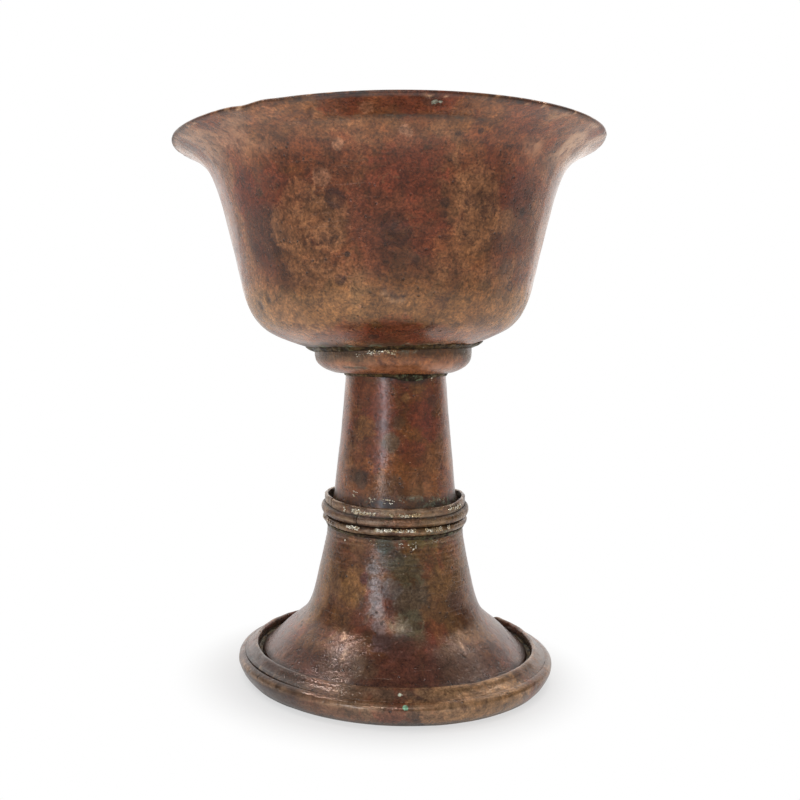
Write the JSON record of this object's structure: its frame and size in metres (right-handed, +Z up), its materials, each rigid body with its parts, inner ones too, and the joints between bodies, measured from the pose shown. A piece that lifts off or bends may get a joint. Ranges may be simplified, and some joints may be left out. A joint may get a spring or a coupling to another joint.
{
  "type": "footed copper bowl",
  "caption": "Bell-shaped hammered copper bowl with a turned-out lip, on a tapered tube stem with a ringed knop and a trumpet foot edged by a moulded rim.",
  "frame": {"origin": "on the plane the foot rests on, at the bowl's own axis, which is the middle of the part's outline seen from above", "axes": "+Z up along the bowl's axis. +X points the way the stem and foot stand off from that axis, and -Y is the side seen from the front"},
  "size_m": [0.127, 0.127, 0.16],
  "materials": {
    "old_copper": "hand-hammered copper with a brown patina, darker reddish and olive blotches, small dark stains, and a satin sheen",
    "red_copper": "orange-brown copper, worn to brighter metal on the rounded edges, darker near the joints",
    "bronze": "plain cut copper, dull brown, never polished",
    "knop_copper": "rough brown copper rings with worn, sparkling high edges and grime in the grooves",
    "foot_copper": "brown copper with fine turning ridges at the waist and orange-brown patches",
    "ring_copper": "dark brown copper with tan worn patches and a narrow bright edge",
    "solder": "dull grey-green soft solder, lumpy and pitted",
    "verdigris_solder": "grimy solder with a crust of green verdigris"
  },
  "bodies": {
    "root": {"bowl": "old_copper", "bowl_rivet": "red_copper", "rivet_rove": "bronze", "stem_cap": "bronze", "bowl_solder": "solder", "bowl_collar": "red_copper", "collar_solder": "solder", "stem_tube": "red_copper", "knop_sleeve": "knop_copper", "knop_band": "knop_copper", "knop_wire": "knop_copper", "knop_solder": "verdigris_solder", "foot_bell": "foot_copper", "foot_seat_ring": "ring_copper", "foot_rim_band": "ring_copper", "foot_solder": "solder"}
  },
  "joints": []
}
